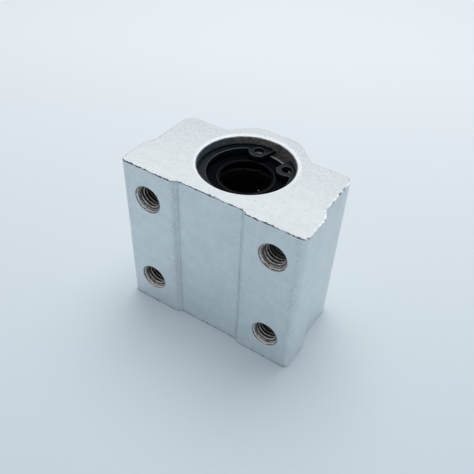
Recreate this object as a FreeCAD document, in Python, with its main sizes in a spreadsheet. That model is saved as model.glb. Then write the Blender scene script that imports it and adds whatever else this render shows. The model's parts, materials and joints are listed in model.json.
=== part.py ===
import FreeCAD, Part
import math
import os
from itertools import combinations, product

import Sketcher

# Linear bearing block for a 10 mm shaft, in millimetres.
# The origin is the middle of the bearing on the shaft's axis. +Z runs along the shaft and the
# mounting face looks to -Y. The block stands on the cut end at -Z.

SIZES = (
    # Extruded block
    ("base_width", 40.0, "width of the flange at the mounting face"),
    ("upper_width", 37.7, "width above the step in the sides"),
    ("axis_height", 13.0, "mounting face to shaft axis"),
    ("shoulder_height", 20.5, "mounting face to the shoulders"),
    ("hump_height", 25.3, "mounting face to the top of the hump"),
    ("flange_height", 7.0, "mounting face to the foot of the step in the sides"),
    ("step_rise", 2.3, "height over which the sides step in"),
    ("base_corner_radius", 1.2, "rounding of the two corners at the mounting face"),
    ("shoulder_corner_radius", 2.2, "rounding of the two corners at the shoulders"),
    ("channel_floor_width", 14.2, "flat floor of the relief channel in the mounting face"),
    ("channel_slope_run", 0.8, "width of each sloping side of the channel"),
    ("channel_depth", 0.7, "depth of the channel"),
    ("hump_top_width", 9.8, "flat top of the hump before its corners are rounded"),
    ("hump_slope_run", 4.8, "width of each sloping side of the hump"),
    ("hump_corner_radius", 5.0, "rounding where the hump's sides meet its top"),
    ("hump_foot_radius", 2.0, "hollow rounding where the hump rises from the shoulders"),
    # Bore of the block
    ("circlip_recess", 2.0, "depth of the circlips below the block's ends, which sets its cut length"),
    ("bore_play", 0.01, "radial play between the bearing and the bore"),
    ("mouth_chamfer_width", 0.55, "radial width of the chamfer at both mouths of the bore"),
    ("mouth_chamfer_depth", 0.3, "axial depth of that chamfer"),
    ("groove_depth", 0.5, "radial depth of the grooves for the circlips"),
    ("groove_width", 1.1, "axial width of the grooves for the circlips"),
    # Four mounting holes
    ("hole_spacing_across", 28.0, "hole spacing across the block"),
    ("hole_spacing_along", 21.0, "hole spacing along the shaft"),
    ("thread_diameter", 5.0, "outer diameter of the tapped thread"),
    ("thread_depth", 12.0, "depth of the tapped thread"),
    ("clearance_hole_diameter", 4.3, "hole that runs on to the shoulder"),
    ("countersink_diameter", 6.1, "mouth of the countersink"),
    ("countersink_depth", 0.85, "depth of the countersink"),
    # Circlips
    ("circlip_thickness", 1.0, "thickness of a circlip"),
    ("circlip_play", 0.05, "radial play of a circlip in its groove"),
    ("circlip_wide_rim", 2.3, "radial width opposite the gap"),
    ("circlip_narrow_rim", 1.5, "radial width that the rim tapers to at the gap"),
    ("circlip_gap", 4.4, "distance between the two end faces"),
    ("lug_radius", 2.1, "radius of a lug round its plier hole"),
    ("lug_root_radius", 0.5, "hollow rounding where a lug meets the rim"),
    ("lug_hole_diameter", 2.1, "plier hole"),
    ("lug_hole_setback", 2.0, "plier hole's centre to the circlip's outer edge"),
    ("lug_hole_half_angle", 30.8, "angle from the middle of the gap to a plier hole"),
    ("upper_circlip_turn", -17.1, "turn of the upper circlip's gap from +Y"),
    ("lower_circlip_turn", 140.0, "turn of the lower circlip's gap"),
    # Bearing sleeve
    ("shaft_diameter", 10.0, "shaft that the bearing runs on"),
    ("bearing_diameter", 19.0, "outside diameter of the sleeve"),
    ("bearing_length", 29.0, "length of the sleeve"),
    ("sleeve_chamfer", 0.3, "chamfer on the sleeve's outer edges"),
    ("end_wall", 1.0, "sleeve wall round the seals, and beside the raceway"),
    # Seals
    ("seal_recess", 0.3, "depth of a seal's rim below the sleeve's end"),
    ("seal_thickness", 2.0, "thickness of a seal"),
    ("seat_play", 0.01, "radial play of a seal or side ring in its seat"),
    ("lip_play", 0.05, "radial play between the sealing lip and the shaft"),
    ("lip_ring_width", 0.55, "flat top of the raised ring round the lip"),
    ("lip_ring_rise", 0.2, "height of the raised ring over the seal's face"),
    ("lip_ring_slope", 0.2, "width of the raised ring's outer slope"),
    ("lip_band", 0.5, "length of the lip that faces the shaft"),
    ("lip_width", 1.2, "how far the lip stands free of the seal's thick rim"),
    # Side rings between the seals and the cage
    ("side_ring_thickness", 0.75, "thickness of a side ring"),
    ("side_ring_overlap", 0.6, "how far the ring reaches in front of the cage"),
    # Balls and their circuits
    ("ball_diameter", 1.98, "ball"),
    ("race_play", 0.01, "play of a loaded ball at the shaft and at the raceway"),
    ("ball_play", 0.04, "least gap between two balls of a circuit"),
    ("straight_run", 15.0, "length of the straight runs of a circuit"),
    ("run_spacing", 2.8, "distance across from a circuit's loaded run to its return run"),
    ("return_groove_play", 0.15, "play round the returning balls in the sleeve's grooves"),
    # Cage
    ("cage_shaft_play", 0.05, "radial play between the cage and the shaft"),
    ("cage_race_play", 0.15, "radial play between the cage and the raceway"),
    ("cage_end_play", 0.1, "play between the cage's ends and the side rings"),
    ("channel_play", 0.04, "play of a ball in its channel"),
    ("ledge_drop", 0.66, "how far a channel's floor lies below the centres of the loaded balls"),
)

CIRCUIT_COUNT = 4
# How far a faceted ball's corners reach along its own axes, as a share of the true ball's radius
CORNER_REACH = 0.95
# Lengths closer than this count as equal
NEAR = 1e-4

# Sizes that follow from the sheet
BALL_RADIUS = "(Size.ball_diameter / 2)"
SHAFT_RADIUS = "(Size.shaft_diameter / 2)"
BEARING_RADIUS = "(Size.bearing_diameter / 2)"
BORE_RADIUS = f"({BEARING_RADIUS} + Size.bore_play)"
GROOVE_RADIUS = f"({BORE_RADIUS} + Size.groove_depth)"
BEARING_END = "(Size.bearing_length / 2)"
BLOCK_END = f"({BEARING_END} + Size.circlip_thickness + Size.circlip_recess)"
GROOVE_MIDDLE = f"({BEARING_END} + Size.circlip_thickness / 2)"
PITCH_RADIUS = f"({SHAFT_RADIUS} + {BALL_RADIUS} + Size.race_play)"
RACEWAY_RADIUS = f"({PITCH_RADIUS} + {BALL_RADIUS} + Size.race_play)"
CHANNEL_FLOOR = f"({PITCH_RADIUS} - Size.ledge_drop)"
RETURN_HEIGHT = f"({CHANNEL_FLOOR} + {BALL_RADIUS} + Size.channel_play)"
SEAT_RADIUS = f"({BEARING_RADIUS} - Size.end_wall)"
SEAL_FACE = f"({BEARING_END} - Size.seal_recess)"
SEAL_FOOT = f"({SEAL_FACE} - Size.seal_thickness)"
RING_FOOT = f"({SEAL_FOOT} - Size.side_ring_thickness)"
CAGE_END = f"({RING_FOOT} - Size.cage_end_play)"
CAGE_OUTER_RADIUS = f"({RACEWAY_RADIUS} - Size.cage_race_play)"
CAGE_INNER_RADIUS = f"({SHAFT_RADIUS} + Size.cage_shaft_play)"

doc = FreeCAD.newDocument("LinearBearingBlock")
sheet = doc.addObject("Spreadsheet::Sheet", "Size")
for row, (alias, size, meaning) in enumerate(SIZES, start=1):
    sheet.set(f"A{row}", meaning)
    sheet.set(f"B{row}", str(size))
    sheet.setAlias(f"B{row}", alias)
doc.recompute()


# Helpers

def number(size):
    """The value of an expression in the sheet's sizes, as a plain number."""
    result = sheet.evalExpression(size)
    return float(getattr(result, "Value", result))


def minus(size):
    return "0" if size == "0" else f"-({size})"


def new_body(label):
    body = doc.addObject("PartDesign::Body", label)
    body.Label = label
    return body


def origin_feature(body, role):
    return next(feature for feature in body.Origin.OriginFeatures if feature.Role == role)


def new_sketch(body, name, role, lift=None):
    """A sketch on one of the body's own origin planes, lifted along its normal."""
    sketch = body.newObject("Sketcher::SketchObject", name)
    sketch.AttachmentSupport = (origin_feature(body, role), [""])
    sketch.MapMode = "FlatFace"
    if lift is not None:
        sketch.setExpression("AttachmentOffset.Base.z", lift)
    return sketch


def constrain(sketch, *rule):
    return sketch.addConstraint(Sketcher.Constraint(*rule))


def dimension(sketch, kind, place, size):
    """A dimension whose value is an expression in the sheet's sizes."""
    index = constrain(sketch, kind, *place, number(size))
    sketch.setExpression(f"Constraints[{index}]", size)


def place_point(sketch, geometry, point, across, along):
    """Fixes a point by its two distances from the sketch's origin."""
    if across == "0":
        constrain(sketch, "PointOnObject", geometry, point, -2)
    else:
        dimension(sketch, "DistanceX", (-1, 1, geometry, point), across)
    if along == "0":
        constrain(sketch, "PointOnObject", geometry, point, -1)
    else:
        dimension(sketch, "DistanceY", (-1, 1, geometry, point), along)


def point_at(across, along):
    return FreeCAD.Vector(number(across), number(along), 0)


def draw_outline(sketch, corners):
    """A closed outline of straight lines through the given corners."""
    points = [point_at(*corner) for corner in corners]
    first = sketch.GeometryCount
    for start, end in zip(points, points[1:] + points[:1]):
        sketch.addGeometry(Part.LineSegment(start, end), False)
    for step, corner in enumerate(corners):
        following = first + (step + 1) % len(corners)
        constrain(sketch, "Coincident", first + step, 2, following, 1)
        place_point(sketch, first + step, 1, *corner)


def draw_circle(sketch, across, along, radius):
    shape = Part.Circle(point_at(across, along), FreeCAD.Vector(0, 0, 1), number(radius))
    circle = sketch.addGeometry(shape, False)
    place_point(sketch, circle, 3, across, along)
    dimension(sketch, "Radius", (circle,), radius)


def draw_racetrack(sketch, across, half_run, radius):
    """Two parallel lines along the shaft, joined by half circles."""
    centre_x = number(across)
    half = number(half_run)
    reach = number(radius)
    normal = FreeCAD.Vector(0, 0, 1)
    top_circle = Part.Circle(FreeCAD.Vector(centre_x, half, 0), normal, reach)
    foot_circle = Part.Circle(FreeCAD.Vector(centre_x, -half, 0), normal, reach)
    top = sketch.addGeometry(Part.ArcOfCircle(top_circle, 0, math.pi), False)
    foot = sketch.addGeometry(Part.ArcOfCircle(foot_circle, math.pi, 2 * math.pi), False)
    left_foot = FreeCAD.Vector(centre_x - reach, -half, 0)
    left_top = FreeCAD.Vector(centre_x - reach, half, 0)
    right_foot = FreeCAD.Vector(centre_x + reach, -half, 0)
    right_top = FreeCAD.Vector(centre_x + reach, half, 0)
    left = sketch.addGeometry(Part.LineSegment(left_top, left_foot), False)
    right = sketch.addGeometry(Part.LineSegment(right_foot, right_top), False)
    constrain(sketch, "Tangent", top, 2, left, 1)
    constrain(sketch, "Tangent", left, 2, foot, 1)
    constrain(sketch, "Tangent", foot, 2, right, 1)
    constrain(sketch, "Tangent", right, 2, top, 1)
    constrain(sketch, "Equal", top, foot)
    place_point(sketch, top, 3, across, half_run)
    dimension(sketch, "DistanceY", (-1, 1, foot, 3), minus(half_run))
    dimension(sketch, "Radius", (top,), radius)


def volume_of(feature):
    doc.recompute()
    return feature.Shape.Volume


def add_pad(body, name, sketch, length, symmetric=False):
    pad = body.newObject("PartDesign::Pad", name)
    pad.Profile = sketch
    pad.SideType = "Symmetric" if symmetric else "One side"
    pad.setExpression("Length", length)
    return pad


def add_through_pocket(body, name, sketch, symmetric=False):
    """Cuts a sketch through everything behind it, and makes sure that it did cut."""
    before = volume_of(body.Tip)
    pocket = body.newObject("PartDesign::Pocket", name)
    pocket.Profile = sketch
    pocket.SideType = "Symmetric" if symmetric else "One side"
    pocket.Type = "ThroughAll"
    if volume_of(pocket) > before - NEAR:
        raise RuntimeError(f"{name} cuts nothing")
    return pocket


def add_revolution(body, name, corners):
    """Turns an outline in the plane of X and Z once round the shaft's axis."""
    sketch = new_sketch(body, f"{name}_section", "XZ_Plane")
    draw_outline(sketch, corners)
    turned = body.newObject("PartDesign::Revolution", name)
    turned.Profile = sketch
    turned.ReferenceAxis = (sketch, ["V_Axis"])
    turned.Angle = 360
    return turned


def mirrored_ends(corners):
    """A section given for the upper half, closed by the same section at the lower end."""
    return corners + [(across, minus(along)) for across, along in reversed(corners)]


def round_uprights(body, name, base, corners, radius):
    """Rounds the edges that run along the shaft through the given corners of the profile."""
    doc.recompute()
    places = [point_at(*corner) for corner in corners]
    names = []
    for index, edge in enumerate(base.Shape.Edges, start=1):
        ends = [vertex.Point for vertex in edge.Vertexes]
        for place in places:
            if all(math.hypot(end.x - place.x, end.y - place.y) < NEAR for end in ends):
                names.append(f"Edge{index}")
    if len(names) != len(corners):
        raise RuntimeError(f"{name} found {len(names)} edges")
    rounding = body.newObject("PartDesign::Fillet", name)
    rounding.Base = (base, names)
    rounding.setExpression("Radius", radius)
    return rounding


def pattern_round_axis(body, name, originals, count):
    pattern = body.newObject("PartDesign::PolarPattern", name)
    pattern.Originals = originals
    pattern.Axis = (origin_feature(body, "Z_Axis"), [""])
    pattern.Angle = 360
    pattern.Occurrences = count
    body.Tip = pattern
    return pattern


def turn_over(body):
    """Turns a piece drawn for the upper end over, to the lower end."""
    body.Placement = FreeCAD.Placement(FreeCAD.Vector(), FreeCAD.Rotation(FreeCAD.Vector(1, 0, 0), 180))


# Block: one extrusion, cut to length and machined

BASE = "-Size.axis_height"
SHOULDER = "(Size.shoulder_height - Size.axis_height)"
HUMP = "(Size.hump_height - Size.axis_height)"
BASE_CORNER = ("Size.base_width / 2", BASE)
SHOULDER_CORNER = ("Size.upper_width / 2", SHOULDER)
HUMP_FOOT = ("Size.hump_top_width / 2 + Size.hump_slope_run", SHOULDER)
HUMP_CORNER = ("Size.hump_top_width / 2", HUMP)

PROFILE_RIGHT = [
    ("Size.channel_floor_width / 2", f"{BASE} + Size.channel_depth"),
    ("Size.channel_floor_width / 2 + Size.channel_slope_run", BASE),
    BASE_CORNER,
    ("Size.base_width / 2", f"{BASE} + Size.flange_height"),
    ("Size.upper_width / 2", f"{BASE} + Size.flange_height + Size.step_rise"),
    SHOULDER_CORNER,
    HUMP_FOOT,
    HUMP_CORNER,
]


def on_both_sides(corner):
    return [corner, (minus(corner[0]), corner[1])]


def build_block():
    body = new_body("housing_block")
    profile = new_sketch(body, "extrusion_profile", "XY_Plane")
    left = [(minus(across), along) for across, along in reversed(PROFILE_RIGHT)]
    draw_outline(profile, PROFILE_RIGHT + left)
    solid = add_pad(body, "extrusion", profile, f"2 * {BLOCK_END}", symmetric=True)
    roundings = (
        ("base_corners", BASE_CORNER, "Size.base_corner_radius"),
        ("shoulder_corners", SHOULDER_CORNER, "Size.shoulder_corner_radius"),
        ("hump_corners", HUMP_CORNER, "Size.hump_corner_radius"),
        ("hump_feet", HUMP_FOOT, "Size.hump_foot_radius"),
    )
    for name, corner, radius in roundings:
        solid = round_uprights(body, name, solid, on_both_sides(corner), radius)
    bore_block(body)
    drill_block(body)
    return body


def bore_block(body):
    """The bore with its chamfered mouths and the two grooves for the circlips."""
    before = volume_of(body.Tip)
    section = new_sketch(body, "bore_section", "XZ_Plane")
    half_groove = "Size.groove_width / 2"
    upper = [
        ("0", BLOCK_END),
        (f"{BORE_RADIUS} + Size.mouth_chamfer_width", BLOCK_END),
        (BORE_RADIUS, f"{BLOCK_END} - Size.mouth_chamfer_depth"),
        (BORE_RADIUS, f"{GROOVE_MIDDLE} + {half_groove}"),
        (GROOVE_RADIUS, f"{GROOVE_MIDDLE} + {half_groove}"),
        (GROOVE_RADIUS, f"{GROOVE_MIDDLE} - {half_groove}"),
        (BORE_RADIUS, f"{GROOVE_MIDDLE} - {half_groove}"),
    ]
    draw_outline(section, mirrored_ends(upper))
    bore = body.newObject("PartDesign::Groove", "bore")
    bore.Profile = section
    bore.ReferenceAxis = (section, ["V_Axis"])
    bore.Angle = 360
    if volume_of(bore) > before - NEAR:
        raise RuntimeError("bore cuts nothing")


def draw_mounting_holes(sketch, radius):
    for side, end in product((1, -1), repeat=2):
        across = f"{side} * Size.hole_spacing_across / 2"
        along = f"{end} * Size.hole_spacing_along / 2"
        draw_circle(sketch, across, along, radius)


def drill_block(body):
    """Four holes tapped from the mounting face, which run on to the shoulders."""
    narrow = new_sketch(body, "clearance_hole_centres", "XZ_Plane", "Size.axis_height")
    draw_mounting_holes(narrow, "Size.clearance_hole_diameter / 2")
    add_through_pocket(body, "clearance_holes", narrow)
    before = volume_of(body.Tip)
    wide = new_sketch(body, "tapped_hole_centres", "XZ_Plane", "Size.axis_height")
    draw_mounting_holes(wide, "Size.thread_diameter / 2")
    doc.recompute()
    tapped = body.newObject("PartDesign::Hole", "tapped_holes")
    tapped.Profile = wide
    tapped.DepthType = "Dimension"
    tapped.DrillPoint = "Flat"
    tapped.HoleCutType = "Countersink"
    tapped.setExpression("Diameter", "Size.thread_diameter")
    tapped.setExpression("Depth", "Size.thread_depth")
    tapped.setExpression("HoleCutDiameter", "Size.countersink_diameter")
    slope = "(Size.countersink_diameter - Size.thread_diameter) / 2 / Size.countersink_depth"
    tapped.setExpression("HoleCutCountersinkAngle", f"2 * atan({slope})")
    if volume_of(tapped) > before - NEAR:
        raise RuntimeError("tapped_holes cuts nothing")


# Circlips: half of the ring is drawn and mirrored across the middle of the gap

CIRCLIP_RADIUS = f"({GROOVE_RADIUS} - Size.circlip_play)"
RIM_INNER_RADIUS = f"({CIRCLIP_RADIUS} - (Size.circlip_wide_rim + Size.circlip_narrow_rim) / 2)"
RIM_OFFSET = "((Size.circlip_wide_rim - Size.circlip_narrow_rim) / 2)"
LUG_CIRCLE_RADIUS = f"({CIRCLIP_RADIUS} - Size.lug_hole_setback)"
LUG_ACROSS = f"({LUG_CIRCLE_RADIUS} * sin(Size.lug_hole_half_angle * 1 deg))"
LUG_ALONG = f"({LUG_CIRCLE_RADIUS} * cos(Size.lug_hole_half_angle * 1 deg))"


def circle_crossing(first, first_radius, second, second_radius):
    """The crossing of two circles that lies to the right of the way from first to second."""
    apart = second - first
    span = apart.Length
    along = (first_radius ** 2 - second_radius ** 2 + span ** 2) / (2 * span)
    aside = math.sqrt(first_radius ** 2 - along ** 2)
    ahead = apart / span
    return first + ahead * along + FreeCAD.Vector(ahead.y, -ahead.x, 0) * aside


def add_arc(sketch, centre, start, end):
    """An arc that runs anticlockwise from start to end."""
    circle = Part.Circle(centre, FreeCAD.Vector(0, 0, 1), (start - centre).Length)
    first = math.atan2(start.y - centre.y, start.x - centre.x)
    last = math.atan2(end.y - centre.y, end.x - centre.x)
    if last < first:
        last += 2 * math.pi
    return sketch.addGeometry(Part.ArcOfCircle(circle, first, last), False)


def draw_half_circlip(sketch):
    middle = FreeCAD.Vector()
    outer_radius = number(CIRCLIP_RADIUS)
    inner_radius = number(RIM_INNER_RADIUS)
    inner_centre = point_at("0", RIM_OFFSET)
    lug_centre = point_at(LUG_ACROSS, LUG_ALONG)
    lug_radius = number("Size.lug_radius")
    root_radius = number("Size.lug_root_radius")
    half_gap = number("Size.circlip_gap / 2")

    outer_foot = FreeCAD.Vector(0, -outer_radius, 0)
    end_top = FreeCAD.Vector(half_gap, math.sqrt(outer_radius ** 2 - half_gap ** 2), 0)
    lug_drop = math.sqrt(lug_radius ** 2 - (lug_centre.x - half_gap) ** 2)
    end_foot = FreeCAD.Vector(half_gap, lug_centre.y - lug_drop, 0)
    root_centre = circle_crossing(
        inner_centre, inner_radius - root_radius, lug_centre, lug_radius + root_radius)
    lug_tangent = lug_centre + (root_centre - lug_centre).normalize() * lug_radius
    rim_tangent = inner_centre + (root_centre - inner_centre).normalize() * inner_radius
    inner_foot = inner_centre - FreeCAD.Vector(0, inner_radius, 0)

    outer = add_arc(sketch, middle, outer_foot, end_top)
    face = sketch.addGeometry(Part.LineSegment(end_top, end_foot), False)
    lug = add_arc(sketch, lug_centre, end_foot, lug_tangent)
    root = add_arc(sketch, root_centre, rim_tangent, lug_tangent)
    inner = add_arc(sketch, inner_centre, inner_foot, rim_tangent)
    seam = sketch.addGeometry(Part.LineSegment(inner_foot, outer_foot), False)

    constrain(sketch, "Coincident", outer, 2, face, 1)
    constrain(sketch, "Coincident", face, 2, lug, 1)
    constrain(sketch, "Tangent", lug, 2, root, 2)
    constrain(sketch, "Tangent", root, 1, inner, 2)
    constrain(sketch, "Coincident", inner, 1, seam, 1)
    constrain(sketch, "Coincident", seam, 2, outer, 1)
    constrain(sketch, "Coincident", outer, 3, -1, 1)
    constrain(sketch, "Vertical", face)
    constrain(sketch, "PointOnObject", seam, 1, -2)
    constrain(sketch, "PointOnObject", seam, 2, -2)
    place_point(sketch, inner, 3, "0", RIM_OFFSET)
    place_point(sketch, lug, 3, LUG_ACROSS, LUG_ALONG)
    dimension(sketch, "DistanceX", (-1, 1, face, 1), "Size.circlip_gap / 2")
    dimension(sketch, "Radius", (outer,), CIRCLIP_RADIUS)
    dimension(sketch, "Radius", (inner,), RIM_INNER_RADIUS)
    dimension(sketch, "Radius", (lug,), "Size.lug_radius")
    dimension(sketch, "Radius", (root,), "Size.lug_root_radius")
    draw_circle(sketch, LUG_ACROSS, LUG_ALONG, "Size.lug_hole_diameter / 2")


def build_circlip(end):
    body = new_body(f"circlip_{end}")
    outline = new_sketch(body, f"circlip_{end}_half", "XY_Plane", BEARING_END)
    draw_half_circlip(outline)
    half = add_pad(body, f"circlip_{end}_side", outline, "Size.circlip_thickness")
    doc.recompute()
    whole = body.newObject("PartDesign::Mirrored", f"circlip_{end}_whole")
    whole.Originals = [half]
    whole.MirrorPlane = (origin_feature(body, "YZ_Plane"), [""])
    body.Tip = whole
    turned = FreeCAD.Rotation(FreeCAD.Vector(0, 0, 1), number(f"Size.{end}_circlip_turn"))
    if end == "lower":
        turned = turned * FreeCAD.Rotation(FreeCAD.Vector(1, 0, 0), 180)
    body.Placement = FreeCAD.Placement(FreeCAD.Vector(), turned)
    return body


# Sleeve: raceway in the middle, and at both ends a wider bore in which the balls turn and which
# seats the side ring and the seal

RACEWAY_END = "(Size.straight_run / 2)"

SLEEVE_SECTION = [
    (BEARING_RADIUS, f"{BEARING_END} - Size.sleeve_chamfer"),
    (f"{BEARING_RADIUS} - Size.sleeve_chamfer", BEARING_END),
    (SEAT_RADIUS, BEARING_END),
    (SEAT_RADIUS, RACEWAY_END),
    (RACEWAY_RADIUS, RACEWAY_END),
]


def build_sleeve():
    body = new_body("bearing_sleeve")
    add_revolution(body, "sleeve", mirrored_ends(SLEEVE_SECTION))
    groove = new_sketch(body, "return_groove_section", "XY_Plane")
    radius = f"{BALL_RADIUS} + Size.return_groove_play"
    draw_circle(groove, "Size.run_spacing", RETURN_HEIGHT, radius)
    cut = add_through_pocket(body, "return_groove", groove, symmetric=True)
    pattern_round_axis(body, "return_grooves", [cut], CIRCUIT_COUNT)
    return body


# Seals: a rubber ring with a thin lip towards the shaft and a raised ring round the lip

LIP_RADIUS = f"({SHAFT_RADIUS} + Size.lip_play)"
LIP_TOP = f"({SEAL_FACE} + Size.lip_ring_rise)"
LIP_FOOT = f"({LIP_TOP} - Size.lip_band)"
LIP_ROOT_RADIUS = f"({LIP_RADIUS} + Size.lip_width)"
LIP_RING_OUTER = f"({LIP_RADIUS} + Size.lip_ring_width)"
FIT_RADIUS = f"({SEAT_RADIUS} - Size.seat_play)"

SEAL_SECTION = [
    (FIT_RADIUS, SEAL_FOOT),
    (FIT_RADIUS, SEAL_FACE),
    (f"{LIP_RING_OUTER} + Size.lip_ring_slope", SEAL_FACE),
    (LIP_RING_OUTER, LIP_TOP),
    (LIP_RADIUS, LIP_TOP),
    (LIP_RADIUS, LIP_FOOT),
    (LIP_ROOT_RADIUS, LIP_FOOT),
    (LIP_ROOT_RADIUS, SEAL_FOOT),
]


def build_seal(end):
    body = new_body(f"end_seal_{end}")
    add_revolution(body, f"seal_{end}", SEAL_SECTION)
    if end == "lower":
        turn_over(body)
    return body


# Side rings: flat steel rings that keep the cage in the sleeve and back the seals

def build_side_ring(end):
    body = new_body(f"side_ring_{end}")
    outline = new_sketch(body, f"side_ring_{end}_outline", "XY_Plane", RING_FOOT)
    draw_circle(outline, "0", "0", FIT_RADIUS)
    draw_circle(outline, "0", "0", f"{CAGE_OUTER_RADIUS} - Size.side_ring_overlap")
    add_pad(body, f"side_ring_{end}_disc", outline, "Size.side_ring_thickness")
    if end == "lower":
        turn_over(body)
    return body


# Cage: a tube with four closed channels. A channel lies square to the radius at its loaded run, where
# a slot lets the balls down to the shaft. Its flat floor carries them clear of the shaft on the way back.

CHANNEL_HALF_WIDTH = f"({BALL_RADIUS} + Size.channel_play)"
SLOT_HALF_WIDTH = f"(sqrt({BALL_RADIUS} ^ 2 - Size.ledge_drop ^ 2) + Size.channel_play)"
TURN_RADIUS = "(Size.run_spacing / 2)"


def cut_channel(body):
    """Cuts a closed channel outwards from its floor. XZ_Plane's normal points to -Y."""
    track = new_sketch(body, "ball_channel_outline", "XZ_Plane", minus(CHANNEL_FLOOR))
    for edge in (f"{TURN_RADIUS} + {CHANNEL_HALF_WIDTH}", f"{TURN_RADIUS} - {CHANNEL_HALF_WIDTH}"):
        draw_racetrack(track, TURN_RADIUS, RACEWAY_END, edge)
    return add_through_pocket(body, "ball_channel", track)


def cut_slot(body):
    """Cuts the slot through the floor, from the shaft's axis outwards."""
    track = new_sketch(body, "ball_slot_outline", "XZ_Plane")
    draw_racetrack(track, "0", RACEWAY_END, SLOT_HALF_WIDTH)
    return add_through_pocket(body, "ball_slot", track)


def build_cage():
    body = new_body("ball_cage")
    ring = new_sketch(body, "cage_tube_section", "XY_Plane")
    draw_circle(ring, "0", "0", CAGE_OUTER_RADIUS)
    draw_circle(ring, "0", "0", CAGE_INNER_RADIUS)
    add_pad(body, "cage_tube", ring, f"2 * {CAGE_END}", symmetric=True)
    cuts = [cut_channel(body), cut_slot(body)]
    pattern_round_axis(body, "ball_channels", cuts, CIRCUIT_COUNT)
    return body


# Balls: each circuit is a train of balls, some carrying the shaft and the others on their way back

def faceted_ball(radius):
    """A ball of 20 flats, whose corners lie a little outside the true ball and flats a little inside."""
    golden = (1 + math.sqrt(5)) / 2
    far = radius * CORNER_REACH
    near = far / golden
    corners = []
    for side, end in product((1, -1), repeat=2):
        corners.append(FreeCAD.Vector(0, side * near, end * far))
        corners.append(FreeCAD.Vector(side * near, end * far, 0))
        corners.append(FreeCAD.Vector(end * far, 0, side * near))
    flats = []
    for trio in combinations(corners, 3):
        sides = [start.distanceToPoint(end) for start, end in combinations(trio, 2)]
        if max(sides) < 2 * near + NEAR:
            flats.append(Part.Face(Part.makePolygon(trio + trio[:1])))
    return Part.makeSolid(Part.makeShell(flats))


def straight_places():
    """Places along the shaft of the balls in a straight run, clear of the ball at the top of each turn."""
    turn = number(TURN_RADIUS)
    apart = number("Size.ball_diameter + Size.ball_play")
    first = number(RACEWAY_END) + turn - math.sqrt(apart ** 2 - turn ** 2)
    gaps = int(2 * first / apart)
    return [first - 2 * first * step / gaps for step in range(gaps + 1)]


def circuit_places():
    """Where the balls of one circuit lie, as lists for the loaded run and for the way back."""
    turn = number(TURN_RADIUS)
    height = number(RETURN_HEIGHT)
    turn_top = number(RACEWAY_END) + turn
    loaded = [FreeCAD.Vector(0, number(PITCH_RADIUS), along) for along in straight_places()]
    returning = [FreeCAD.Vector(2 * turn, height, along) for along in straight_places()]
    returning += [FreeCAD.Vector(turn, height, along) for along in (turn_top, -turn_top)]
    return loaded, returning


def build_ball_rows():
    ball = faceted_ball(number(BALL_RADIUS))
    loaded, returning = circuit_places()
    rows = []
    for circuit in range(CIRCUIT_COUNT):
        turned = FreeCAD.Rotation(FreeCAD.Vector(0, 0, 1), circuit * 360 / CIRCUIT_COUNT)
        for kind, places in (("loaded_balls", loaded), ("return_balls", returning)):
            label = f"{kind}_{circuit + 1}"
            row = doc.addObject("Part::Feature", label)
            row.Label = label
            row.Shape = Part.makeCompound([ball.translated(place) for place in places])
            row.Placement = FreeCAD.Placement(FreeCAD.Vector(), turned)
            rows.append(row)
    return rows


def build_all():
    pieces = [build_block(), build_sleeve(), build_cage()]
    pieces += build_ball_rows()
    for end in ("upper", "lower"):
        pieces += [build_side_ring(end), build_seal(end), build_circlip(end)]
    doc.recompute()
    return pieces


def check_all(pieces):
    for thing in doc.Objects:
        if "Invalid" in thing.State or "Error" in thing.State:
            raise RuntimeError(f"{thing.Label} failed: {thing.State}")
    for piece in pieces:
        if piece.Shape.isNull() or not piece.Shape.isValid():
            raise RuntimeError(f"{piece.Label} has no valid shape")


def write_all(pieces):
    os.makedirs("parts", exist_ok=True)
    for piece in pieces:
        piece.Shape.exportStep(f"parts/{piece.Label}.step")
        print(f"{piece.Label}: {len(piece.Shape.Solids)} solids, {piece.Shape.Volume:.2f} mm3")


PIECES = build_all()
check_all(PIECES)
write_all(PIECES)
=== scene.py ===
import json
import math
import random

import bmesh
import bpy
from mathutils import Matrix, Vector


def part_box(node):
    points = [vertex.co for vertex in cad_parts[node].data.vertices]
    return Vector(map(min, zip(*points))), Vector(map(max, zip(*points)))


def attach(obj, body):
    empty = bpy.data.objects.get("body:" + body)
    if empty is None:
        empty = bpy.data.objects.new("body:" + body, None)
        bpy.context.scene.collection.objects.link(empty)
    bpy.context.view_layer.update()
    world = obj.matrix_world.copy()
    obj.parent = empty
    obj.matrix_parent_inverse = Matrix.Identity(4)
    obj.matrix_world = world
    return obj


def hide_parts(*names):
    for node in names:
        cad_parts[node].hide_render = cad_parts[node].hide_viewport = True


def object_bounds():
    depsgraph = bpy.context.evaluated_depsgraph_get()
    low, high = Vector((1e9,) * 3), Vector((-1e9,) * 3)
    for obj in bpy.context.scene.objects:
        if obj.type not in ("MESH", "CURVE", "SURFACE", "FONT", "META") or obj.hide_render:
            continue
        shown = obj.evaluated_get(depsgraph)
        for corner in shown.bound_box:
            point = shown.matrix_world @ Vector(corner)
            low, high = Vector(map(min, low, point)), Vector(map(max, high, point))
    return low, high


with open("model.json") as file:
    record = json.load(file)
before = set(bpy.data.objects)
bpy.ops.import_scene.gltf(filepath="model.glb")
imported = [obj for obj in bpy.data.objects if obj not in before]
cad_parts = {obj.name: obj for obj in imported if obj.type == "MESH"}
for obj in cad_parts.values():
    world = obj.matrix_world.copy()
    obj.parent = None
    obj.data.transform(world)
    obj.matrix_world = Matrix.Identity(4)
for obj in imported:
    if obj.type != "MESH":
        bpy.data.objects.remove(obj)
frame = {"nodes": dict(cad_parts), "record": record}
low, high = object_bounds()

MM = 0.001
SEED = 7

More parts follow.
